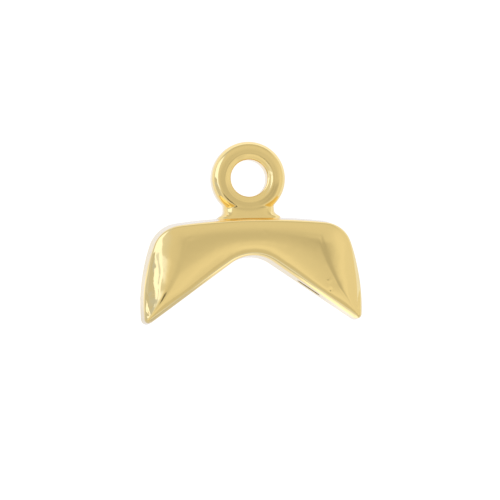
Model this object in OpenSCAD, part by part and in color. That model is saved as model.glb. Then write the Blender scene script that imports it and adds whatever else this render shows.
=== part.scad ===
// Beadwork end cap: one metal casting with a ring, a short neck and a chevron body.
// The piece lies on its back. +X is to the right, +Y runs from the tips to the ring,
// and +Z points out of the front. The origin is under the middle of the piece.

/* [Ring] */
// Outside diameter of the ring
ring_od = 4; // [3.8:0.1:4.4]
// Diameter of the hole through the ring
ring_hole = 2; // [1.7:0.1:2.1]
// Thickness of the ring
ring_t = 1.4; // [1.2:0.1:1.6]
// Height of the ring's centre above the top of the body
ring_rise = 2.08; // [2.04:0.02:2.3]
// Rounding of the ring's outer front edge
ring_outer_round = 0.5; // [0.3:0.05:0.5]
// Width of the bevel round the hole's front edge
ring_bevel_w = 0.32; // [0.1:0.02:0.32]
// Depth of that bevel
ring_bevel_d = 0.18; // [0.1:0.02:0.3]
// Rounding of the ring's back edges
ring_back_round = 0.15; // [0.05:0.05:0.2]

/* [Neck] */
// Width of the neck between the ring and the body
neck_w = 2.76; // [2.4:0.02:2.9]
// Thickness of the neck
neck_t = 1.3; // [1:0.05:1.35]
// Radius of the fillets where the neck flares into the body
neck_fillet = 0.3; // [0.1:0.05:0.4]

/* [Body outline] */
// Width of the body over both arms
body_w = 12; // [11.6:0.1:12.4]
// Height of the body in the middle, from its top down to the notch
mid_h = 2.2; // [2.1:0.02:2.4]
// Radius of the shallow crown along the top
crown_r = 33; // [28:1:40]
// Radius of the shoulders
shoulder_r = 1.8; // [1.4:0.1:2]
// Radius of the bowed sides
side_r = 10; // [9:0.5:12]
// Depth below the top at which the body is widest
side_widest = 4.8; // [4.4:0.1:5]
// Slope of the notch's two sides
notch_slope = 35.2; // [34:0.2:36]
// Radius of the notch's rounded apex
notch_r = 1.9; // [1.5:0.1:2.3]
// Radius of the two tips
tip_r = 0.3; // [0.25:0.05:0.35]

/* [Body form] */
// Height of the ridge above the back, in the middle
top_h = 2.9; // [2.8:0.05:3]
// Radius of the arch that the ridge follows from side to side
arch_r = 42; // [36:2:50]
// Steepness of the main face at the notch's edge
dome_rate = 0.4; // [0.3:0.02:0.44]
// Length at which a longer main face would be flat again
dome_span = 5.5; // [5.2:0.1:6]
// Depth of the ridge below the top of the body
ridge_drop = 0.92; // [0.8:0.02:1]
// How much lower the ridge lies at its corners
ridge_sag = 0.28; // [0.2:0.02:0.34]
// Distance of the ridge's corners from the middle
corner_x = 3.65; // [3.5:0.05:3.8]
// Distance from the middle of the place that the crease bows towards
crease_bow_x = 4.2; // [4.1:0.05:4.4]
// Depth of that place below the top of the body
crease_bow_drop = 3.6; // [3.4:0.1:3.7]
// Distance of the crease's lower end from the centre of the tip's rounding
crease_inset = 0.1; // [0.08:0.01:0.14]
// Slope of the bevel along the top
bevel_slope = 0.26; // [0.2:0.02:0.32]
// Slope of the side facets at the shoulder
facet_slope = 0.31; // [0.24:0.01:0.34]
// Slope of the side facets at the tip
tip_slope = 0.42; // [0.34:0.02:0.46]
// How fast the front falls away towards the tips
tip_fall = 0.12; // [0.04:0.02:0.12]
// Depth below the top of the body at which that fall starts
fall_start = 3.9; // [3.9:0.1:4.4]
// Bulge of the side facets, from 0 for flat to 1 for fully domed
facet_bulge = 0.5; // [0:0.1:1]

/* [Walls and front edge] */
// Height at which the walls meet the rounded front edge
wall_h = 2.3; // [2.2:0.05:2.4]
// Draft of the wall along the top
top_draft = 4.5; // [3:0.5:6]
// Draft of the walls along the sides
side_draft = 2.5; // [1.5:0.5:3.5]
// Draft of the walls along the notch
notch_draft = 1.5; // [0.5:0.5:3]
// Width of the rounded front edge along the top
top_round = 0.14; // [0.1:0.02:0.2]
// Width of the rounded front edge along the sides
side_round = 0.3; // [0.2:0.02:0.32]
// Width of the rounded front edge along the notch
notch_round = 0.26; // [0.2:0.02:0.28]
// Width of the rounded front edge at the tips
tip_round = 0.1; // [0.06:0.02:0.12]

/* [Back] */
// Thickness of the walls round the recess in the back
back_wall = 0.65; // [0.6:0.01:0.7]
// Depth of the recess
recess_depth = 1.5; // [1.3:0.1:1.6]
// Radius of the recess's corners
recess_r = 0.15; // [0.05:0.05:0.2]

/* [Thread slots] */
// Length of each thread slot along the notch wall
slot_l = 1.4; // [1:0.1:1.6]
// Width of each thread slot
slot_w = 0.5; // [0.3:0.05:0.6]
// Distance of the slots from the middle
slot_x = 3.1; // [3:0.1:3.4]
// Height of the slots' centre line above the back
slot_z = 0.95; // [0.85:0.05:1.05]

/* [Hidden] */
metal = [0.85, 0.72, 0.42];

// Steps along each stretch of the outline, across the rounded edge and across the face,
// and sides of a whole circle
crown_steps = 10;
shoulder_steps = 6;
side_steps = 10;
tip_steps = 4;
round_steps = 4;
face_steps = 6;
curve_fn = 72;
corner_fn = 24;
// Length of the step that measures the slope of the face
probe = 0.02;
// Distance from the middle at which the crease's upper end looks down on the notch
foot_x = 2.6;
// Depth that the neck reaches into the body, and that cutters stand past a face
overlap = 0.5;
ease = 0.1;

// Centres of the outline's arcs, with the top of the body at y = 0
crown_c = [0, -crown_r];
side_c = [body_w / 2 - side_r, -side_widest];
shoulder_c = circles_meet(crown_c, crown_r - shoulder_r, side_c, side_r - shoulder_r);
notch_c = [0, -mid_h - notch_r];
notch_in = [sin(notch_slope), cos(notch_slope)];
notch_way = [cos(notch_slope), -sin(notch_slope)];
notch_vertex = notch_c + [0, notch_r / cos(notch_slope)];
tip_c = line_meets_circle(notch_vertex + tip_r * notch_in, notch_way, side_c, side_r - tip_r);
tip_foot = tip_c - tip_r * notch_in;

// Corner, bow and lower end of the right arm's crease
corner = [corner_x, -ridge_drop - ridge_sag];
crease_bow = [crease_bow_x, -crease_bow_drop];
crease_end = tip_c + crease_inset * [-0.8, 0.6];

// The middle of the whole piece, from the tips to the top of the ring
tips_y = tip_c.y - tip_r;
ring_top_y = ring_rise + ring_od / 2;
middle_y = (tips_y + ring_top_y) / 2;

function unit(v) = v / norm(v);
function mix(a, b, t) = a + (b - a) * t;
function smooth(t) = t <= 0 ? 0 : t >= 1 ? 1 : t * t * (3 - 2 * t);
function polar(r, a) = r * [cos(a), sin(a)];
function bearing(v) = atan2(v.y, v.x);
function bezier(a, b, c, t) = a * pow(1 - t, 2) + b * 2 * t * (1 - t) + c * t * t;
function arc(c, r, a0, a1, n) = [for (i = [0:n]) c + polar(r, mix(a0, a1, i / n))];

// The crossing of two circles that lies on the right of the way between their centres
function circles_meet(c1, r1, c2, r2) =
    let (d = norm(c2 - c1), along = (r1 * r1 - r2 * r2 + d * d) / (2 * d))
    let (aside = sqrt(r1 * r1 - along * along), u = (c2 - c1) / d)
    c1 + along * u + aside * [u.y, -u.x];

// The far crossing of a line with a circle
function line_meets_circle(p, way, c, r) =
    let (w = p - c, b = w * way)
    p + way * (sqrt(b * b - w * w + r * r) - b);

// Depth of the notch's outline at a distance x from the middle, moved into the metal by inset
function notch_y(x, inset) =
    let (r = notch_r + inset)
    abs(x) < r * sin(notch_slope)
        ? notch_c.y + sqrt(r * r - x * x)
        : notch_vertex.y + inset / cos(notch_slope) - tan(notch_slope) * abs(x);

function ridge_y(x) = -ridge_drop - ridge_sag * pow(x / corner_x, 2);

function crease(t) = bezier(corner, crease_bow, crease_end, t);

// A wall's draft as a slope, the width of its drafted and rounded edge, and its facet's slope
function wall(draft, edge_round, slope) = [tan(draft), edge_round + wall_h * tan(draft), slope];
top_wall = wall(top_draft, top_round, bevel_slope);
notch_wall = wall(notch_draft, notch_round, 0);
tip_wall = wall(notch_draft, tip_round, tip_slope);
function side_wall(t) =
    wall(side_draft, mix(side_round, tip_round, pow(t, 2)), mix(facet_slope, tip_slope, smooth(t)));

// Height of the main face: arched from side to side, domed from the notch's edge up to the ridge,
// and falling away towards the tips
function main_z(p) =
    let (low = notch_y(p.x, notch_wall[1]), run = ridge_y(p.x) - low)
    let (s = min(1, (p.y - low) / run), rise = dome_rate * run * (1 - run / dome_span))
    let (away = tip_fall * pow(max(0, -fall_start - p.y), 2))
    top_h - p.x * p.x / (2 * arch_r) - rise * (s < 0 ? 1 - 2 * s : pow(1 - s, 2)) - away;

// A rib runs from a point on the outline in to the ridge or the crease. It holds the point,
// the outline's normal there, its inner end, the wall and the bulge, where a bulge below 0
// marks a rib on the main face.
function outer_rib(c, r, a, end, wall, bulge) = [c + polar(r, a), polar(1, a), end, wall, bulge];
function notch_rib(x, end, wall) =
    let (p = [x, notch_y(x, 0)])
    let (on_arc = x < notch_r * sin(notch_slope))
    [p, on_arc ? unit(notch_c - p) : -notch_in, end, wall, -1];

crown_end = bearing(shoulder_c - crown_c);
side_start = bearing(shoulder_c - side_c);
side_end = bearing(tip_c - side_c);
tip_end = -90 - notch_slope;

crown_ribs = [for (i = [0:crown_steps]) let (t = i / crown_steps)
    outer_rib(crown_c, crown_r, mix(90, crown_end, t), [t * corner_x, ridge_y(t * corner_x)],
        top_wall, mix(1, facet_bulge, pow(t, 4)))];
shoulder_ribs = [for (i = [1:shoulder_steps]) let (t = i / shoulder_steps)
    outer_rib(shoulder_c, shoulder_r, mix(crown_end, side_start, t), corner,
        mix(top_wall, side_wall(0), smooth(t)), facet_bulge)];
side_ribs = [for (i = [1:side_steps]) let (t = i / side_steps)
    outer_rib(side_c, side_r, mix(side_start, side_end, t), crease(t),
        side_wall(t), facet_bulge)];
tip_ribs = [for (i = [1:tip_steps]) let (t = i / tip_steps)
    outer_rib(tip_c, tip_r, mix(side_end, tip_end, t), crease_end,
        mix(side_wall(1), tip_wall, t), facet_bulge)];
arm_ribs = [for (i = [1:side_steps]) let (t = i / side_steps)
    notch_rib(mix(tip_foot.x, foot_x, t), crease(1 - t), mix(tip_wall, notch_wall, smooth(3 * t)))];
apex_ribs = [for (i = [1:crown_steps]) let (t = 1 - i / crown_steps)
    notch_rib(foot_x * t, [t * corner_x, ridge_y(t * corner_x)], notch_wall)];

right_ribs = concat(crown_ribs, shoulder_ribs, side_ribs, tip_ribs, arm_ribs, apex_ribs);
function flip(v) = [-v.x, v.y];
left_ribs = [for (i = [len(right_ribs) - 2:-1:1]) let (rib = right_ribs[i])
    [flip(rib[0]), flip(rib[1]), flip(rib[2]), rib[3], rib[4]]];
ribs = concat(right_ribs, left_ribs);

// Height of a rib's face at a point, and at a share of the face's length from its inner end
function outer_z(rib, run, share) =
    let (bulge = rib[4], fall = rib[3][2] * run)
    main_z(rib[2]) - fall * ((1 - bulge) * share + bulge * share * share);
function face_z(rib, p, run, share) = rib[4] < 0 ? main_z(p) : outer_z(rib, run, share);

// The points of a rib: foot of the wall, rounded edge, then the face up to the ridge
function rib_points(rib) =
    let (foot = rib[0], end = rib[2], way = unit(end - foot), slant = -way * rib[1])
    let (edge = rib[3][1] / slant, inner = foot + way * edge, run = norm(end - inner))
    let (z_in = face_z(rib, inner, run, 1))
    let (z_next = face_z(rib, inner + way * probe, run, 1 - probe / run), slope = (z_next - z_in) / probe)
    let (lean = rib[3][0] / slant, z_mid = (z_in - slope * edge) / (1 - slope * lean))
    let (z_wall = z_mid - (edge - z_mid * lean))
    concat(
        [[foot.x, foot.y, 0]],
        [for (i = [0:round_steps])
            let (q = bezier([z_wall * lean, z_wall], [z_mid * lean, z_mid], [edge, z_in], i / round_steps))
            let (p = foot + way * q.x)
            [p.x, p.y, q.y]],
        [for (i = [1:face_steps])
            let (t = i / face_steps, p = mix(inner, end, t))
            [p.x, p.y, face_z(rib, p, run, 1 - t)]]);

rib_n = round_steps + face_steps + 2;
rib_count = len(ribs);

// The chevron's outer form, as a net of ribs that is closed by its flat back
module chevron() {
    function at(i, j) = (i % rib_count) * rib_n + j;
    net = [for (i = [0:rib_count - 1], j = [0:rib_n - 2]) [at(i, j), at(i + 1, j), at(i + 1, j + 1)]];
    fill = [for (i = [0:rib_count - 1], j = [0:rib_n - 2])
        if (j < rib_n - 2 || ribs[i][2] != ribs[(i + 1) % rib_count][2])
            [at(i, j), at(i + 1, j + 1), at(i, j + 1)]];
    back = [[for (i = [rib_count - 1:-1:0]) at(i, 0)]];
    polyhedron([for (rib = ribs) each rib_points(rib)], concat(net, fill, back), convexity = 6);
}

// Hollow in the back that follows the outline
module back_recess() {
    translate([0, 0, -ease])
        linear_extrude(recess_depth + ease)
            offset(r = recess_r, $fn = corner_fn)
                offset(r = -back_wall - recess_r, $fn = corner_fn)
                    polygon([for (rib = ribs) rib[0]]);
}

// Slot with round ends through one notch wall, where the beading thread passes
module thread_slot(hand) {
    straight = slot_l - slot_w;
    reach = back_wall + overlap + ease;
    mirror([hand < 0 ? 1 : 0, 0, 0])
        translate([slot_x, notch_y(slot_x, 0), slot_z])
            rotate([0, 0, -notch_slope])
                rotate([-90, 0, 0])
                    translate([0, 0, -overlap]) {
                        for (end = [-1, 1])
                            translate([end * straight / 2, 0, 0])
                                cylinder(h = reach, d = slot_w, $fn = corner_fn);
                        translate([-straight / 2, -slot_w / 2, 0])
                            cube([straight, slot_w, reach]);
                    }
}

// Ring whose hole keeps a straight bore between its bevelled front and its rounded back
module ring() {
    inner = ring_hole / 2;
    outer = ring_od / 2;
    section = concat(
        arc([outer - ring_back_round, ring_back_round], ring_back_round, -90, 0, 4),
        arc([outer - ring_outer_round, ring_t - ring_outer_round], ring_outer_round, 0, 90, 8),
        [[inner + ring_bevel_w, ring_t], [inner, ring_t - ring_bevel_d]],
        arc([inner + ring_back_round, ring_back_round], ring_back_round, 180, 270, 4));
    translate([0, ring_rise, 0])
        rotate_extrude($fn = curve_fn)
            polygon(section);
}

// Flat neck that flares into the top of the body
module neck() {
    half = neck_w / 2;
    flare_c = [half + neck_fillet, neck_fillet];
    seat = ring_rise - ring_hole / 2 - ring_bevel_w;
    right = concat(
        [[half, seat]],
        arc(flare_c, neck_fillet, 180, 270, 6),
        [[flare_c.x, -overlap]]);
    left = [for (i = [len(right) - 1:-1:0]) flip(right[i])];
    linear_extrude(neck_t)
        polygon(concat(right, left));
}

module end_cap() {
    color(metal)
        translate([0, -middle_y, 0])
            difference() {
                union() {
                    chevron();
                    neck();
                    ring();
                }
                back_recess();
                for (hand = [-1, 1])
                    thread_slot(hand);
            }
}

end_cap();
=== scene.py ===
"""The beadwork end cap as a polished gold casting on its back, on a white table in a white tent."""

import math

import bpy
import numpy as np
from mathutils import Matrix, Vector


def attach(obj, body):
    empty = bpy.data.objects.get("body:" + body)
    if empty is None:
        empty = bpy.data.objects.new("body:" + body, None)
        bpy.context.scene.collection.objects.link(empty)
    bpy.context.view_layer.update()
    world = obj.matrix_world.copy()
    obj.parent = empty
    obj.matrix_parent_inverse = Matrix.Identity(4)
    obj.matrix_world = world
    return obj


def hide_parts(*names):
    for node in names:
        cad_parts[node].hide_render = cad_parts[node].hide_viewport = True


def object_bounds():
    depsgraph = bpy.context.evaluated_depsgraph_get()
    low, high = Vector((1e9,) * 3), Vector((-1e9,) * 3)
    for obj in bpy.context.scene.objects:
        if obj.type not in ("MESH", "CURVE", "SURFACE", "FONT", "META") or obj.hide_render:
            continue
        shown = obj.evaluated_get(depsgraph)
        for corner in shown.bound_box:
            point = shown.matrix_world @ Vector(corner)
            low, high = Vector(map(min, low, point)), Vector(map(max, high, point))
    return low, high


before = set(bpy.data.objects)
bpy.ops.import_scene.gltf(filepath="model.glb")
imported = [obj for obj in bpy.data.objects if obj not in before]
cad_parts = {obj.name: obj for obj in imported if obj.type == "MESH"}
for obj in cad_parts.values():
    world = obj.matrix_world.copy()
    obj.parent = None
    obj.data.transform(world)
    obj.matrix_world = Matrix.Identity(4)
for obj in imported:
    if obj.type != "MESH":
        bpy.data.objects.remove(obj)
cad_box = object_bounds()

MM = 0.001

# Ring and neck in millimetres, as in the part's source, with the body's top at y = 0
RING_R = 2.0
HOLE_R = 1.0
RING_T = 1.4
RING_RISE = 2.08
NECK_W = 2.76
NECK_T = 1.3
NECK_ROOT = 0.5

# Outline of the body
BODY_W = 12.0
MID_H = 2.2
CROWN_R = 33.0
SHOULDER_R = 1.8
SIDE_R = 10.0
SIDE_WIDEST = 4.8
NOTCH_SLOPE = math.radians(35.2)
NOTCH_R = 1.9
TIP_R = 0.3

# Form of the body's front: main face, bevel and facets, then ridge and crease
TOP_H = 2.9
ARCH_R = 42.0
RISE_RATE = 0.4
RISE_SPAN = 5.5
RISE_POWER = 2.5
RISE_POWER_ASIDE = 2
RISE_KEEP = 0.84
MIDDLE_X = 2.0
BEVEL_SLOPE = 0.26
FACET_SLOPE = 0.31
TIP_SLOPE = 0.42
TIP_FALL = 0.12
FALL_START = 3.9
WALL_H = 2.3
RIDGE_DROP = 0.92
RIDGE_SAG = 0.28
CORNER_X = 3.65
CREASE_BOW = np.array([4.2, -3.6])
CREASE_INSET = 0.1
CREASE_INSET_WAY = np.array([-0.8, 0.6])
FACET_BULGE = 0.5
BULGE_POWER = 4
CREASE_SOFT = 0.15
CREASE_TURN = 0.7

# Hollow back and thread slots
BACK_WALL = 0.65
RECESS_DEPTH = 1.5
SLOT_L = 1.4
SLOT_W = 0.5
SLOT_X = 3.1
SLOT_Z = 0.95
SLOT_PAST_WALL = 0.1

# Draft and rounded front edge of each stretch of wall, and where on the side and the arm they settle
DRAFT_TOP = math.radians(4.5)
DRAFT_SIDE = math.radians(2.5)
DRAFT_NOTCH = math.radians(1.5)
ROUND_TOP = 0.14
ROUND_SHOULDER = 0.14
ROUND_SIDE = 0.3
ROUND_NOTCH = 0.26
ROUND_ARM = 0.42
SIDE_SETTLED = 0.45
ARM_X = 2.2

# Roundings of the neck, and how its front rises towards the body from a place below the ring's centre
NECK_FILLET = 0.07
NECK_FLARE = 0.32
NECK_ROUND = 0.8
NECK_TILT = 0.24
NECK_TILT_DROP = 1.5

# Roundings of the ring, and the bevel round its hole with a raised lip
RING_FILLET = 0.06
RING_OUTER_ROUND = 0.6
SINK_R = 1.32
SINK_DEPTH = 0.12
SINK_ROUND = 0.05
HOLE_ROUND = 0.06
LIP_H = 0.03
LIP_W = 0.06

# Roundings of the back, and the reach of the rougher finish and painted shade out of the hollow
BACK_ROUND = 0.08
RECESS_ROUND = 0.12
SLOT_ROUND = 0.03
HOLLOW_EDGE = 0.05

# Small dents in the front: x, y, radius and depth, where a depth below 0 is a raised grain
DENTS = [
    (4.15, -4.07, 0.08, 0.03),
    (5.47, -4.75, 0.08, 0.03),
    (4.09, -3.59, 0.1, -0.015),
    (-3.43, -1.16, 0.1, 0.012),
    (0.63, -0.93, 0.08, 0.012),
]

WHITE = (1, 1, 1, 1)

# Table in metres, and as the metal sees it: its brightness and tint near the piece and far away, where it
# is darker to the lower left than to the upper right, and the distances between which it turns
TABLE_SIZE = 1.2
TABLE_BASE = (0.2, 0.2, 0.2, 1)
TABLE_ROUGH = 0.9
TABLE_LIGHT = 0.74
TABLE_FAR_LIGHT = (0.48, 0.74)
TABLE_NEAR = 0.0065
TABLE_FAR = 0.01
TABLE_TINT = (1.0, 1.04, 1.18, 1)
TABLE_FAR_TINT = (0.95, 1.05, 1.42, 1)

# Patches of the table that are lit or shaded: place, inner and outer radius in metres, and the factor
TABLE_PATCHES = [
    ((0.0033, -0.0071), 0.0022, 0.0034, 1.55),
    ((-0.0024, -0.0072), 0.0026, 0.0036, 0.66),
    ((-0.0035, -0.0165), 0.003, 0.009, 1.6),
    ((-0.0082, -0.003), 0.001, 0.0025, 1.4),
    ((0.002, 0.014), 0.005, 0.014, 1.2),
]

# Finish of the plate, with waves a metre for the scales, metres for the depth, and for the haze and the
# hairlines the levels of noise between which they come up
GOLD = (1.0, 0.757, 0.305, 1)
# Darker gold of the hollow and slots: painted shade
PAINTED_SHADE_GOLD = (0.2, 0.135, 0.06, 1)
HAZE_SCALE = 700.0
HAZE_LEVELS = (0.3, 0.7)
HAZE_ROUGH = (0.05, 0.1)
HAIRLINE_SCALE = 2500.0
HAIRLINE_DETAIL = 4.0
HAIRLINE_STRETCH = (0.12, 1.0, 1.0)
HAIRLINE_LEVELS = (0.55, 0.75)
HAIRLINE_ROUGH = 0.05
HOLLOW_ROUGH = 0.5
RIPPLE_SCALE = 1300.0
RIPPLE_DETAIL = 1.0
RIPPLE_DEPTH = 12e-6
GRAIN_SCALE = 9000.0
GRAIN_SHARE = 0.6

# Tent: brightness at so many degrees off the zenith in the south and in the north, and the shares of the
# way north between which the one turns into the other
SOUTH_SKY = [(0, 0.6), (13, 0.62), (25, 0.69), (36, 0.745), (50, 0.84), (57, 0.8), (64, 0.67), (90, 0.66)]
NORTH_SKY = [(0, 0.6), (15, 0.65), (30, 0.71), (50, 0.73), (62, 0.69), (75, 0.62), (90, 0.62)]
NORTH_TURN = (-0.1, 0.7)

# Degrees from the zenith to the horizon
HORIZON = 90

# Things in the tent, in degrees east and north of the zenith. A pair of edges says where something starts
# and where it is full on, and a slanted line is its slope and a place on it.
WEST_CLOTH_LIGHT = 0.62
WEST_CLOTH_EAST = (-43, -45)
EAST_CLOTH_LIGHT = 0.79
EAST_CLOTH_EAST = (52, 58)
EAST_CLOTH_NORTH = (-50, -35)

WINDOW_LIGHT = 1.25
WINDOW_EAST = (-40.5, -41.5)
WINDOW_TOP = (60, 40)
SILL = -0.35, (-50, -8)
FAR_SILL = -0.3, (-54, 0)
SILL_TURN = (-53.5, -54.5)
SILL_SOFT = (-0.5, 0.5)
BAR_LIGHT = 0.8
BAR_EAST = -46
BAR_REACH = (1.6, 0.6)
BAR_NORTH = (-2, -3.5)

GLOW_LIGHT = 1.05
GLOW_EAST = (-27, -40)
GLOW_TOP = (-5, -6.2)
GLOW_FOOT = (-14, -11)
DAYLIGHT = (0.93, 1.06, 1.5, 1)
DAYLIGHT_SPILL = 0.4
DAYLIGHT_EAST = (-28, -38)

# Soft spots: place, inner and outer radius, and how much brighter they are
SOFT_SPOTS = [
    ((28, -46), 4, 18, -0.09),
    ((15, -30), 4, 13, 0.06),
]

SHADE_DEPTH = 0.17
SHADE_WEST = (8, 22)
SHADE_EAST = (52, 28)
SHADE_NORTH = (3, -5)
SHADE_SOUTH = (-28, -18)

SLIT_LIGHT = 0.18
SLIT_LINE = -0.43, (0, -22.25)
SLIT_TOP = (0, 1)
SLIT_FOOT = (12, 10)
SLIT_WEST = (-27, -23)
SLIT_EAST = (-7, -10)

# Camera: the photograph's pixels to a millimetre and its size in pixels, how far the camera stands to the
# left and down for each unit up, its roll, the point it looks at, its distance and clipping in metres,
# and the sensor's width in millimetres
PHOTO_SCALE = 18.4
PHOTO_SIZE = 500
VIEW_LEFT = 0.11
VIEW_DOWN = 0.026
ROLL = math.radians(1.5)
AIM = Vector((0.08, -0.963, 0.0)) * MM
DISTANCE = 0.3
CLIP = 0.01, 10
SENSOR = 36.0

# Spacing of the sampled grid and its margin in millimetres, points to a stretch of outline, and how often
# the vertices are pulled onto the surface
PITCH = 0.057
MARGIN = 0.15
CURVE_STEPS = 40
PULL_STEPS = 3

# Limits that keep the front's slopes finite: the shortest way from the spine to the edge, the furthest
# share of it, and the steepest slope squared
SHORTEST_RUN = 0.1
FURTHEST_SHARE = 1.3
STEEPEST = 4

# Smallest divisors: a squared slope of the field, a ray's sideways part, and degrees off the zenith
LEAST_SLOPE = 1e-9
LEAST_ASIDE = 1e-5
LEAST_OFF = 1e-3


def polar(r, a):
    return r * np.stack([np.cos(a), np.sin(a)], axis=-1)


def bearing(v):
    return math.atan2(v[1], v[0])


def smooth(t):
    t = np.clip(t, 0, 1)
    return t * t * (3 - 2 * t)


def mix(a, b, t):
    return a + (b - a) * t


def soft_max(a, b, k):
    """The larger of two fields, rounded over where they come within k of each other."""
    h = np.maximum(k - np.abs(a - b), 0) / k
    return np.maximum(a, b) + h * h * k / 4


def soft_min(a, b, k):
    """The smaller of two fields, filleted over where they come within k of each other."""
    return -soft_max(-a, -b, k)


def circles_meet(c1, r1, c2, r2):
    """Where two circles meet, on the right of the way from the first centre to the second."""
    d = np.linalg.norm(c2 - c1)
    along = (r1 * r1 - r2 * r2 + d * d) / (2 * d)
    aside = math.sqrt(r1 * r1 - along * along)
    u = (c2 - c1) / d
    return c1 + along * u + aside * np.array([u[1], -u[0]])


def line_meets_circle(p, way, c, r):
    """Where a line from p leaves a circle."""
    w = p - c
    b = float(w @ way)
    return p + way * (math.sqrt(b * b - float(w @ w) + r * r) - b)


# Centres and other places of the right half's outline and front
CROWN_C = np.array([0, -CROWN_R])
SIDE_C = np.array([BODY_W / 2 - SIDE_R, -SIDE_WIDEST])
SHOULDER_C = circles_meet(CROWN_C, CROWN_R - SHOULDER_R, SIDE_C, SIDE_R - SHOULDER_R)
NOTCH_C = np.array([0, -MID_H - NOTCH_R])
NOTCH_IN = np.array([math.sin(NOTCH_SLOPE), math.cos(NOTCH_SLOPE)])
NOTCH_WAY = np.array([math.cos(NOTCH_SLOPE), -math.sin(NOTCH_SLOPE)])
NOTCH_VERTEX = NOTCH_C + np.array([0, NOTCH_R / math.cos(NOTCH_SLOPE)])
TIP_C = line_meets_circle(NOTCH_VERTEX + TIP_R * NOTCH_IN, NOTCH_WAY, SIDE_C, SIDE_R - TIP_R)
CORNER = np.array([CORNER_X, -RIDGE_DROP - RIDGE_SAG])
CREASE_END = TIP_C + CREASE_INSET * CREASE_INSET_WAY
MIDDLE_Y = (TIP_C[1] - TIP_R + RING_RISE + RING_R) / 2
TILT_START = RING_RISE - NECK_TILT_DROP


def notch_y(x, inset):
    """Height of the notch's outline at x, moved into the metal by inset."""
    r = NOTCH_R + inset
    on_arc = NOTCH_C[1] + np.sqrt(np.maximum(r * r - x * x, 0))
    on_line = NOTCH_VERTEX[1] + inset / math.cos(NOTCH_SLOPE) - math.tan(NOTCH_SLOPE) * x
    return np.where(x < r * math.sin(NOTCH_SLOPE), on_arc, on_line)


def ridge_y(x):
    """Height of the ridge at x."""
    return -RIDGE_DROP - RIDGE_SAG * (x / CORNER_X) ** 2


def outline():
    """The right half's outline from the top to the notch, with three values for each point.

    They are the draft, the edge's rounding and the front's slope. The number of points before the notch
    is given back too.
    """
    crown_end = bearing(SHOULDER_C - CROWN_C)
    side_start = bearing(SHOULDER_C - SIDE_C)
    side_end = bearing(TIP_C - SIDE_C)
    tip_end = -math.pi / 2 - NOTCH_SLOPE
    t = np.linspace(0, 1, CURVE_STEPS)[:, None]
    top = np.array([math.tan(DRAFT_TOP), ROUND_TOP, BEVEL_SLOPE])
    shoulder = np.array([math.tan(DRAFT_SIDE), ROUND_SHOULDER, FACET_SLOPE])
    side = np.array([math.tan(DRAFT_SIDE), ROUND_SIDE, FACET_SLOPE])
    tip = np.array([math.tan(DRAFT_SIDE), ROUND_SIDE, TIP_SLOPE])
    notch = np.array([math.tan(DRAFT_NOTCH), ROUND_NOTCH, TIP_SLOPE])
    arm = np.array([math.tan(DRAFT_NOTCH), ROUND_ARM, TIP_SLOPE])
    x = np.linspace((TIP_C - TIP_R * NOTCH_IN)[0], 0, 2 * CURVE_STEPS)
    stretches = [
        (CROWN_C + polar(CROWN_R, mix(math.pi / 2, crown_end, t[:, 0])), top + 0 * t),
        (SHOULDER_C + polar(SHOULDER_R, mix(crown_end, side_start, t[:, 0])),
         mix(top, shoulder, smooth(t))),
        (SIDE_C + polar(SIDE_R, mix(side_start, side_end, t[:, 0])),
         mix(mix(shoulder, side, smooth(t / SIDE_SETTLED)), tip, smooth(t))),
        (TIP_C + polar(TIP_R, mix(side_end, tip_end, t[:, 0])), mix(tip, arm, smooth(t))),
        (np.stack([x, notch_y(x, 0)], axis=-1), mix(notch, arm, smooth(x / ARM_X)[:, None])),
    ]
    outer = sum(len(line) for line, _ in stretches[:4])
    line = np.concatenate([line for line, _ in stretches])
    values = np.concatenate([values for _, values in stretches])
    return line, values, outer


def nearest(x, y, line, values):
    """Distance from each point to a line of points, and the line's values at the nearest place."""
    best = np.full(x.shape, np.inf)
    found = np.zeros(x.shape + values.shape[1:])
    for a, b, va, vb in zip(line[:-1], line[1:], values[:-1], values[1:]):
        way = b - a
        length = float(way @ way)
        if length == 0:
            continue
        t = np.clip(((x - a[0]) * way[0] + (y - a[1]) * way[1]) / length, 0, 1)
        d = np.hypot(x - a[0] - t * way[0], y - a[1] - t * way[1])
        closer = d < best
        best = np.where(closer, d, best)
        found = np.where(closer[..., None], mix(va, vb, t[..., None]), found)
    return best, found


def inside_outline(x, y, line):
    """Whether each point lies in the closed outline of the right half."""
    count = np.zeros(x.shape, int)
    closed = np.concatenate([line, line[:1]])
    for a, b in zip(closed[:-1], closed[1:]):
        crosses = (a[1] > y) != (b[1] > y)
        if a[1] != b[1]:
            at = a[0] + (y - a[1]) / (b[1] - a[1]) * (b[0] - a[0])
            count += crosses & (x < at)
    return count % 2 == 1


def main_face(x, y):
    """Height of the main face: arched along x, and domed from the notch's edge up to the ridge."""
    low = notch_y(x, WALL_H * math.tan(DRAFT_NOTCH) + ROUND_NOTCH)
    run = ridge_y(x) - low
    s = np.minimum((y - low) / run, 1)
    aside = smooth(x / MIDDLE_X)
    power = mix(RISE_POWER, RISE_POWER_ASIDE, aside)
    rise = RISE_RATE * run * (1 - run / RISE_SPAN) * mix(RISE_KEEP, 1, aside)
    fall = np.where(s < 0, 1 - power * s, np.maximum(1 - s, 0) ** power)
    away = TIP_FALL * np.maximum(-FALL_START - y, 0) ** 2
    return TOP_H - x * x / (2 * ARCH_R) - rise * fall - away


def crease(t):
    """The bowed crease from the ridge's corner to the tip, for t from 0 to 1."""
    t = t[:, None]
    return mix(mix(CORNER, CREASE_BOW, t), mix(CREASE_BOW, CREASE_END, t), t)


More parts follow.
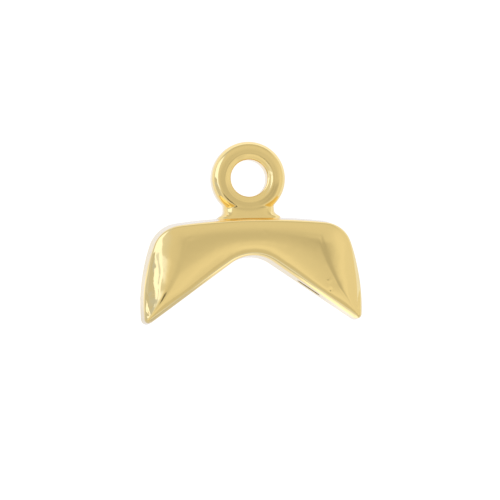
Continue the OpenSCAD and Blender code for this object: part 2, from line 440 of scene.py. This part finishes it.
def spine():
    """The ridge and the crease of the right half, with each point's height and the bulge outside it."""
    t = np.linspace(0, 1, CURVE_STEPS)
    ridge = np.stack([t * CORNER_X, ridge_y(t * CORNER_X)], axis=-1)
    line = np.concatenate([ridge, crease(t)])
    bulge = np.concatenate([mix(1, FACET_BULGE, t ** BULGE_POWER), np.full(CURVE_STEPS, FACET_BULGE)])
    return line, np.stack([main_face(line[:, 0], line[:, 1]), bulge], axis=-1)


def front_face(x, y, outer_d, found):
    """Height of the front: the main face inside the ridge and crease, the bevel and facet outside."""
    lean, rounding, slope = found[..., 0], found[..., 1], found[..., 2]
    inner = main_face(x, y)
    spine_d, at_spine = nearest(x, y, *spine())
    top, bulge = at_spine[..., 0], at_spine[..., 1]
    run = np.maximum(spine_d + outer_d - WALL_H * lean - rounding, SHORTEST_RUN)
    share = np.minimum(spine_d / run, FURTHEST_SHARE)
    outer = top - slope * run * ((1 - bulge) * share + bulge * share * share)
    bow = crease(np.linspace(1, 0, CURVE_STEPS))
    is_outer = np.where(y > CORNER[1], y > ridge_y(x), x > np.interp(y, bow[:, 1], bow[:, 0]))
    worn = CREASE_TURN * (1 - bulge) * np.maximum(CREASE_SOFT - spine_d, 0) ** 2 / (4 * CREASE_SOFT)
    return np.where(is_outer, outer, inner) - worn


def dents(x, y):
    """Depth of the small dents at each point."""
    depth = 0
    for at_x, at_y, r, deepest in DENTS:
        gap = (x - at_x) ** 2 + (y - at_y) ** 2
        depth = depth + deepest * np.exp(-gap / r ** 2)
    return depth


def ring_field(x, y, z):
    """Field of the ring with its rounded rim, its hole, and the bevel and lip round that."""
    r = np.hypot(x, y - RING_RISE)
    fall = (SINK_R - HOLE_R) / SINK_DEPTH
    sink = (SINK_R - r + (z - RING_T) * fall) / math.hypot(1, fall)
    lip = LIP_H * np.exp(-((r - SINK_R) / LIP_W) ** 2)
    ring = soft_max(r - RING_R, z - RING_T - lip, RING_OUTER_ROUND)
    return soft_max(soft_max(ring, HOLE_R - r, HOLE_ROUND), sink - lip, SINK_ROUND)


def neck_field(x, y, z):
    """Field of the neck, from inside the ring's foot to inside the body, where it flares and rises."""
    flare = NECK_FLARE * np.clip(1 - y / NECK_FLARE, 0, 1) ** 2
    rise = NECK_TILT * np.clip(TILT_START - y, 0, 1)
    side = soft_max(x - NECK_W / 2 - flare, z - NECK_T - rise, NECK_ROUND)
    seat = RING_RISE - SINK_R
    return np.maximum(side, np.maximum(y - seat, -NECK_ROOT - y))


def slot_field(x, y, z):
    """Field of the round-ended slot through the notch's wall."""
    dx = x - SLOT_X
    dy = y - notch_y(np.array(SLOT_X), 0)
    along = dx * NOTCH_WAY[0] + dy * NOTCH_WAY[1]
    through = dx * NOTCH_IN[0] + dy * NOTCH_IN[1]
    past_middle = np.maximum(np.abs(along) - (SLOT_L - SLOT_W) / 2, 0)
    bore = np.hypot(past_middle, z - SLOT_Z) - SLOT_W / 2
    return np.maximum(bore, np.abs(through) - BACK_WALL - SLOT_PAST_WALL)


def solid_field(xs, ys, zs):
    """Signed field of the casting on a grid, negative in the metal, and that of its hollow and slots."""
    x2, y2 = np.meshgrid(np.abs(xs), ys, indexing="ij")
    line, values, outer = outline()
    edge_d, found = nearest(x2, y2, line, values)
    outer_d, outer_found = nearest(x2, y2, line[:outer], values[:outer])
    lean, rounding = found[..., 0], found[..., 1]
    inside = inside_outline(x2, y2, line)
    flat_d = np.where(inside, -edge_d, edge_d)
    front = front_face(x2, y2, np.where(inside, outer_d, -outer_d), outer_found)
    front = front - dents(xs[:, None], y2)
    gx, gy = np.gradient(front, PITCH)
    steep = np.sqrt(1 + np.minimum(gx * gx + gy * gy, STEEPEST))

    z = zs[None, None, :]
    x3, y3 = x2[..., None], y2[..., None]
    wall = (flat_d[..., None] + z * lean[..., None]) / np.sqrt(1 + lean[..., None] ** 2)
    face = (z - front[..., None]) / steep[..., None]
    solid = soft_max(wall, face, rounding[..., None])
    solid = soft_min(solid, neck_field(x3, y3, z), NECK_FILLET)
    solid = soft_min(solid, ring_field(x3, y3, z), RING_FILLET)
    solid = soft_max(solid, -z, BACK_ROUND)
    recess = soft_max(flat_d[..., None] + BACK_WALL, z - RECESS_DEPTH, RECESS_ROUND)
    solid = soft_max(solid, -recess, BACK_ROUND)
    slots = slot_field(x3, y3, z)
    return soft_max(solid, -slots, SLOT_ROUND), np.minimum(recess, slots)


def surface_net(field):
    """Vertices, in grid steps, and quads of the surface where the field changes sign."""
    inside = field < 0
    shape = np.array(field.shape)
    strides = np.array([shape[1] * shape[2], shape[2], 1])
    cells, points, quads = [], [], []
    for axis in range(3):
        low = [slice(None)] * 3
        high = [slice(None)] * 3
        low[axis] = slice(None, -1)
        high[axis] = slice(1, None)
        a, b = field[tuple(low)], field[tuple(high)]
        idx = np.argwhere(inside[tuple(low)] != inside[tuple(high)])
        fa, fb = a[tuple(idx.T)], b[tuple(idx.T)]
        point = idx.astype(float)
        point[:, axis] += fa / (fa - fb)
        u, v = (axis + 1) % 3, (axis + 2) % 3
        step_u, step_v = strides[u], strides[v]
        base = idx @ strides
        ring = np.stack([base, base - step_u, base - step_u - step_v, base - step_v], axis=-1)
        for k in range(4):
            cells.append(ring[:, k])
            points.append(point)
        quads.append(np.where((fa < 0)[:, None], ring, ring[:, ::-1]))
    cells = np.concatenate(cells)
    points = np.concatenate(points)
    used, where = np.unique(cells, return_inverse=True)
    count = np.bincount(where)
    verts = np.stack([np.bincount(where, points[:, i]) for i in range(3)], axis=-1) / count[:, None]
    faces = np.searchsorted(used, np.concatenate(quads))
    return verts, faces


def sample(grid, points):
    """Trilinear sample of a grid at points given in grid steps."""
    base = np.clip(np.floor(points).astype(int), 0, np.array(grid.shape[:3]) - 2)
    t = points - base
    out = 0
    for corner in np.ndindex(2, 2, 2):
        weight = np.prod(np.where(corner, t, 1 - t), axis=1)
        at = base + corner
        value = grid[at[:, 0], at[:, 1], at[:, 2]]
        out = out + (weight[:, None] * value if value.ndim == 2 else weight * value)
    return out


def cast_mesh(name):
    """The casting as a mesh whose vertices and normals follow the field."""
    lo, hi = cad_box
    xs = np.arange(lo.x / MM - MARGIN, hi.x / MM + MARGIN, PITCH)
    ys = np.arange(lo.y / MM - MARGIN, hi.y / MM + MARGIN, PITCH) + MIDDLE_Y
    zs = np.arange(-MARGIN, hi.z / MM + MARGIN, PITCH)
    field, hollow = solid_field(xs, ys, zs)
    slope = np.stack(np.gradient(field), axis=-1)
    verts, faces = surface_net(field)
    for _ in range(PULL_STEPS):
        g = sample(slope, verts)
        verts -= (sample(field, verts) / np.maximum((g * g).sum(axis=1), LEAST_SLOPE))[:, None] * g
    normals = sample(slope, verts)
    normals /= np.linalg.norm(normals, axis=1)[:, None]
    places = verts * PITCH + np.array([xs[0], ys[0] - MIDDLE_Y, zs[0]])
    mesh = bpy.data.meshes.new(name)
    mesh.from_pydata((places * MM).tolist(), [], faces.tolist())
    mesh.shade_smooth()
    mesh.normals_split_custom_set_from_vertices(normals.tolist())
    # Share of the hollow and slots, which get a rougher finish and darker gold as painted shade
    inner = mesh.attributes.new("inner", "FLOAT", "POINT")
    inner.data.foreach_set("value", smooth(1 - sample(hollow, verts) / HOLLOW_EDGE))
    mesh.update()
    return mesh


def node(tree, kind, **inputs):
    """A new shader node with some of its inputs set."""
    made = tree.nodes.new(kind)
    for key, value in inputs.items():
        made.inputs[key.replace("_", " ")].default_value = value
    return made


def feed(tree, value, socket):
    """Give a socket its value, which is a number, a colour or another node's output."""
    if isinstance(value, bpy.types.NodeSocket):
        tree.links.new(value, socket)
    else:
        socket.default_value = value


def calc(tree, operation, *values):
    """A maths node's output; each value is a number or another node's output."""
    made = tree.nodes.new("ShaderNodeMath")
    made.operation = operation
    for socket, value in zip(made.inputs, values):
        feed(tree, value, socket)
    return made.outputs[0]


def product(tree, *values):
    """The product of several outputs."""
    made = values[0]
    for value in values[1:]:
        made = calc(tree, "MULTIPLY", made, value)
    return made


def blend(tree, a, b, share):
    """a where share is 0 and b where it is 1."""
    less = calc(tree, "SUBTRACT", 1.0, share)
    return calc(tree, "ADD", calc(tree, "MULTIPLY", a, less), calc(tree, "MULTIPLY", b, share))


def mix_colour(tree, a, b, share):
    """Colour a where share is 0 and b where it is 1."""
    made = tree.nodes.new("ShaderNodeMix")
    made.data_type = "RGBA"
    feed(tree, a, made.inputs["A"])
    feed(tree, b, made.inputs["B"])
    feed(tree, share, made.inputs["Factor"])
    return made.outputs["Result"]


def step(tree, value, low, high):
    """0 below low and 1 above high, with a smooth way between; high may be the lower one."""
    made = tree.nodes.new("ShaderNodeMapRange")
    made.interpolation_type = "SMOOTHSTEP"
    tree.links.new(value, made.inputs["Value"])
    made.inputs["From Min"].default_value = low
    made.inputs["From Max"].default_value = high
    return made.outputs[0]


def curve(tree, value, stops):
    """A smooth function of the degrees off the zenith, through the stops."""
    made = tree.nodes.new("ShaderNodeFloatCurve")
    points = made.mapping.curves[0].points
    points[0].location = (stops[0][0] / HORIZON, stops[0][1])
    points[1].location = (stops[-1][0] / HORIZON, stops[-1][1])
    for at, level in stops[1:-1]:
        points.new(at / HORIZON, level)
    made.mapping.update()
    tree.links.new(calc(tree, "DIVIDE", value, HORIZON), made.inputs["Value"])
    return made.outputs[0]


def slanted(tree, value, slope, at):
    """Height at value of the line that has this slope and goes through the place at."""
    return calc(tree, "ADD", calc(tree, "MULTIPLY", calc(tree, "SUBTRACT", value, at[0]), slope), at[1])


def spot(tree, x, y, at, inner, outer):
    """1 within inner of a place and 0 beyond outer."""
    dx = calc(tree, "SUBTRACT", x, at[0])
    dy = calc(tree, "SUBTRACT", y, at[1])
    gap = calc(tree, "SQRT", calc(tree, "ADD", product(tree, dx, dx), product(tree, dy, dy)))
    return step(tree, gap, outer, inner)


def noise(tree, place, scale, detail=2.0, stretch=(1, 1, 1)):
    """Noise at so many waves a metre, stretched along the axes."""
    squeeze = tree.nodes.new("ShaderNodeVectorMath")
    squeeze.operation = "MULTIPLY"
    squeeze.inputs[1].default_value = stretch
    made = node(tree, "ShaderNodeTexNoise", Scale=scale, Detail=detail)
    tree.links.new(place, squeeze.inputs[0])
    tree.links.new(squeeze.outputs[0], made.inputs["Vector"])
    return made.outputs["Fac"]


def new_material(name):
    """An empty node material, and its tree and output node."""
    mat = bpy.data.materials.new(name)
    mat.use_nodes = True
    tree = mat.node_tree
    tree.nodes.clear()
    return mat, tree, tree.nodes.new("ShaderNodeOutputMaterial")


def gold_material():
    """Polished plate with a faint ripple, hazy patches and hairlines, and a rougher hollow whose darker
    gold is painted shade.
    """
    mat, tree, out = new_material("gold_plate")
    shader = node(tree, "ShaderNodeBsdfPrincipled", Metallic=1.0)
    place = tree.nodes.new("ShaderNodeTexCoord").outputs["Object"]
    hollow = tree.nodes.new("ShaderNodeAttribute")
    hollow.attribute_name = "inner"
    inner = hollow.outputs["Fac"]
    # Gold, darkened in the hollow and slots with painted shade
    tree.links.new(mix_colour(tree, GOLD, PAINTED_SHADE_GOLD, inner), shader.inputs["Base Color"])

    haze = step(tree, noise(tree, place, HAZE_SCALE), *HAZE_LEVELS)
    scratch = noise(tree, place, HAIRLINE_SCALE, HAIRLINE_DETAIL, HAIRLINE_STRETCH)
    hairlines = calc(tree, "MULTIPLY", step(tree, scratch, *HAIRLINE_LEVELS), HAIRLINE_ROUGH)
    polish = calc(tree, "ADD", blend(tree, *HAZE_ROUGH, haze), hairlines)
    tree.links.new(blend(tree, polish, HOLLOW_ROUGH, inner), shader.inputs["Roughness"])

    ripple = noise(tree, place, RIPPLE_SCALE, RIPPLE_DETAIL)
    grain = product(tree, noise(tree, place, GRAIN_SCALE), calc(tree, "MULTIPLY", inner, GRAIN_SHARE))
    bump = node(tree, "ShaderNodeBump", Distance=RIPPLE_DEPTH)
    tree.links.new(calc(tree, "ADD", ripple, grain), bump.inputs["Height"])
    tree.links.new(bump.outputs[0], shader.inputs["Normal"])
    tree.links.new(shader.outputs[0], out.inputs[0])
    return mat


def table_material():
    """White table, whose dimmer far part and whose patches only the metal sees."""
    mat, tree, out = new_material("studio_table")
    shader = node(tree, "ShaderNodeBsdfPrincipled", Base_Color=TABLE_BASE, Roughness=TABLE_ROUGH)
    split = tree.nodes.new("ShaderNodeSeparateXYZ")
    tree.links.new(tree.nodes.new("ShaderNodeTexCoord").outputs["Object"], split.inputs[0])
    x, y = split.outputs["X"], split.outputs["Y"]
    to_upper_right = step(tree, calc(tree, "ADD", x, y), -TABLE_FAR, TABLE_FAR)
    near = spot(tree, x, y, (0, 0), TABLE_NEAR, TABLE_FAR)
    level = blend(tree, blend(tree, *TABLE_FAR_LIGHT, to_upper_right), TABLE_LIGHT, near)
    for at, inner, outer, factor in TABLE_PATCHES:
        level = product(tree, level, blend(tree, 1.0, factor, spot(tree, x, y, at, inner, outer)))
    seen = tree.nodes.new("ShaderNodeLightPath").outputs["Is Camera Ray"]
    tint = mix_colour(tree, TABLE_FAR_TINT, TABLE_TINT, near)
    tree.links.new(mix_colour(tree, tint, WHITE, seen), shader.inputs["Emission Color"])
    tree.links.new(blend(tree, level, 1.0, seen), shader.inputs["Emission Strength"])
    tree.links.new(shader.outputs[0], out.inputs[0])
    return mat


def table():
    bpy.ops.mesh.primitive_plane_add(size=TABLE_SIZE)
    top = bpy.context.object
    top.name = "studio_table"
    top.data.materials.append(table_material())


def dome_map(tree):
    """Place in the sky in degrees off the zenith: how far east, how far north, and how far in all."""
    split = tree.nodes.new("ShaderNodeSeparateXYZ")
    tree.links.new(tree.nodes.new("ShaderNodeTexCoord").outputs["Generated"], split.inputs[0])
    x, y, z = split.outputs
    off = calc(tree, "MULTIPLY", calc(tree, "ARCCOSINE", z), 180 / math.pi)
    flat = calc(tree, "SQRT", calc(tree, "ADD", product(tree, x, x), product(tree, y, y)))
    spread = calc(tree, "DIVIDE", off, calc(tree, "MAXIMUM", flat, LEAST_ASIDE))
    return product(tree, x, spread), product(tree, y, spread), off


def tent(tree, north, off):
    """Brightness of the tent's cloth, which is dim overhead and brightest halfway down the south side."""
    share = calc(tree, "DIVIDE", north, calc(tree, "MAXIMUM", off, LEAST_OFF))
    south, north_side = curve(tree, off, SOUTH_SKY), curve(tree, off, NORTH_SKY)
    return blend(tree, south, north_side, step(tree, share, *NORTH_TURN))


def glow_share(tree, east, north):
    """The lit cloth beside the window's foot."""
    upright = step(tree, east, *GLOW_EAST)
    return product(tree, upright, step(tree, north, *GLOW_TOP), step(tree, north, *GLOW_FOOT))


def window_share(tree, east, north):
    """The window in the west, above a slanted sill."""
    near, far = slanted(tree, east, *SILL), slanted(tree, east, *FAR_SILL)
    sill = blend(tree, near, far, step(tree, east, *SILL_TURN))
    above = step(tree, calc(tree, "SUBTRACT", north, sill), *SILL_SOFT)
    return product(tree, above, step(tree, east, *WINDOW_EAST), step(tree, north, *WINDOW_TOP))


def bar_share(tree, east, north):
    """The bar that stands in the window's lower part."""
    aside = calc(tree, "ABSOLUTE", calc(tree, "SUBTRACT", east, BAR_EAST))
    return product(tree, step(tree, aside, *BAR_REACH), step(tree, north, *BAR_NORTH))


def east_cloth_share(tree, east, north):
    """The brighter cloth in the east."""
    return product(tree, step(tree, east, *EAST_CLOTH_EAST), step(tree, north, *EAST_CLOTH_NORTH))


def shade_share(tree, east, north):
    """The soft shade south-east of the zenith."""
    across = product(tree, step(tree, east, *SHADE_WEST), step(tree, east, *SHADE_EAST))
    along = product(tree, step(tree, north, *SHADE_NORTH), step(tree, north, *SHADE_SOUTH))
    return product(tree, across, along)


def slit_share(tree, east, north):
    """The dark slit in the tent, a slanted patch south-west of the zenith."""
    depth = calc(tree, "SUBTRACT", slanted(tree, east, *SLIT_LINE), north)
    across = product(tree, step(tree, depth, *SLIT_TOP), step(tree, depth, *SLIT_FOOT))
    return product(tree, across, step(tree, east, *SLIT_WEST), step(tree, east, *SLIT_EAST))


def studio_world():
    """White tent with a window in the west whose daylight is cooler, and darker and brighter places."""
    world = bpy.data.worlds.new("studio")
    bpy.context.scene.world = world
    world.use_nodes = True
    tree = world.node_tree
    tree.nodes.clear()
    east, north, off = dome_map(tree)
    glow = glow_share(tree, east, north)
    window = window_share(tree, east, north)

    level = blend(tree, tent(tree, north, off), GLOW_LIGHT, glow)
    level = blend(tree, level, WEST_CLOTH_LIGHT, step(tree, east, *WEST_CLOTH_EAST))
    level = blend(tree, level, EAST_CLOTH_LIGHT, east_cloth_share(tree, east, north))
    level = blend(tree, level, WINDOW_LIGHT, window)
    level = blend(tree, level, BAR_LIGHT, bar_share(tree, east, north))
    for at, inner, outer, change in SOFT_SPOTS:
        soft = calc(tree, "MULTIPLY", spot(tree, east, north, at, inner, outer), change)
        level = calc(tree, "ADD", level, soft)
    shade = calc(tree, "MULTIPLY", shade_share(tree, east, north), SHADE_DEPTH)
    level = calc(tree, "SUBTRACT", level, shade)
    level = blend(tree, level, SLIT_LIGHT, slit_share(tree, east, north))

    cool = blend(tree, DAYLIGHT_SPILL, 1.0, calc(tree, "MAXIMUM", window, glow))
    cool = product(tree, cool, step(tree, east, *DAYLIGHT_EAST))
    back = tree.nodes.new("ShaderNodeBackground")
    out = tree.nodes.new("ShaderNodeOutputWorld")
    tree.links.new(mix_colour(tree, WHITE, DAYLIGHT, cool), back.inputs["Color"])
    tree.links.new(level, back.inputs["Strength"])
    tree.links.new(back.outputs[0], out.inputs[0])


def camera():
    """The photograph's view, from a little to the left of straight above, with a small roll."""
    data = bpy.data.cameras.new("camera")
    cam = bpy.data.objects.new("camera", data)
    bpy.context.collection.objects.link(cam)
    bpy.context.scene.camera = cam
    toward = Vector((-VIEW_LEFT, -VIEW_DOWN, 1)).normalized()
    up = Vector((math.sin(ROLL), math.cos(ROLL), 0))
    right = up.cross(toward).normalized()
    up = toward.cross(right)
    turn = Matrix((right, up, toward)).transposed().to_4x4()
    cam.matrix_world = Matrix.Translation(AIM + toward * DISTANCE) @ turn
    data.sensor_width = SENSOR
    data.lens = SENSOR * DISTANCE / (PHOTO_SIZE / PHOTO_SCALE * MM)
    data.clip_start, data.clip_end = CLIP


def end_cap():
    """The casting, which stands for its node and rides with it."""
    cap = bpy.data.objects.new("cast_end_cap", cast_mesh("cast_end_cap"))
    bpy.context.collection.objects.link(cap)
    cap.data.materials.append(gold_material())
    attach(cap, "root")
    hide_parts("end_cap")


end_cap()
table()
studio_world()
camera()
bpy.context.scene.view_settings.view_transform = "Standard"
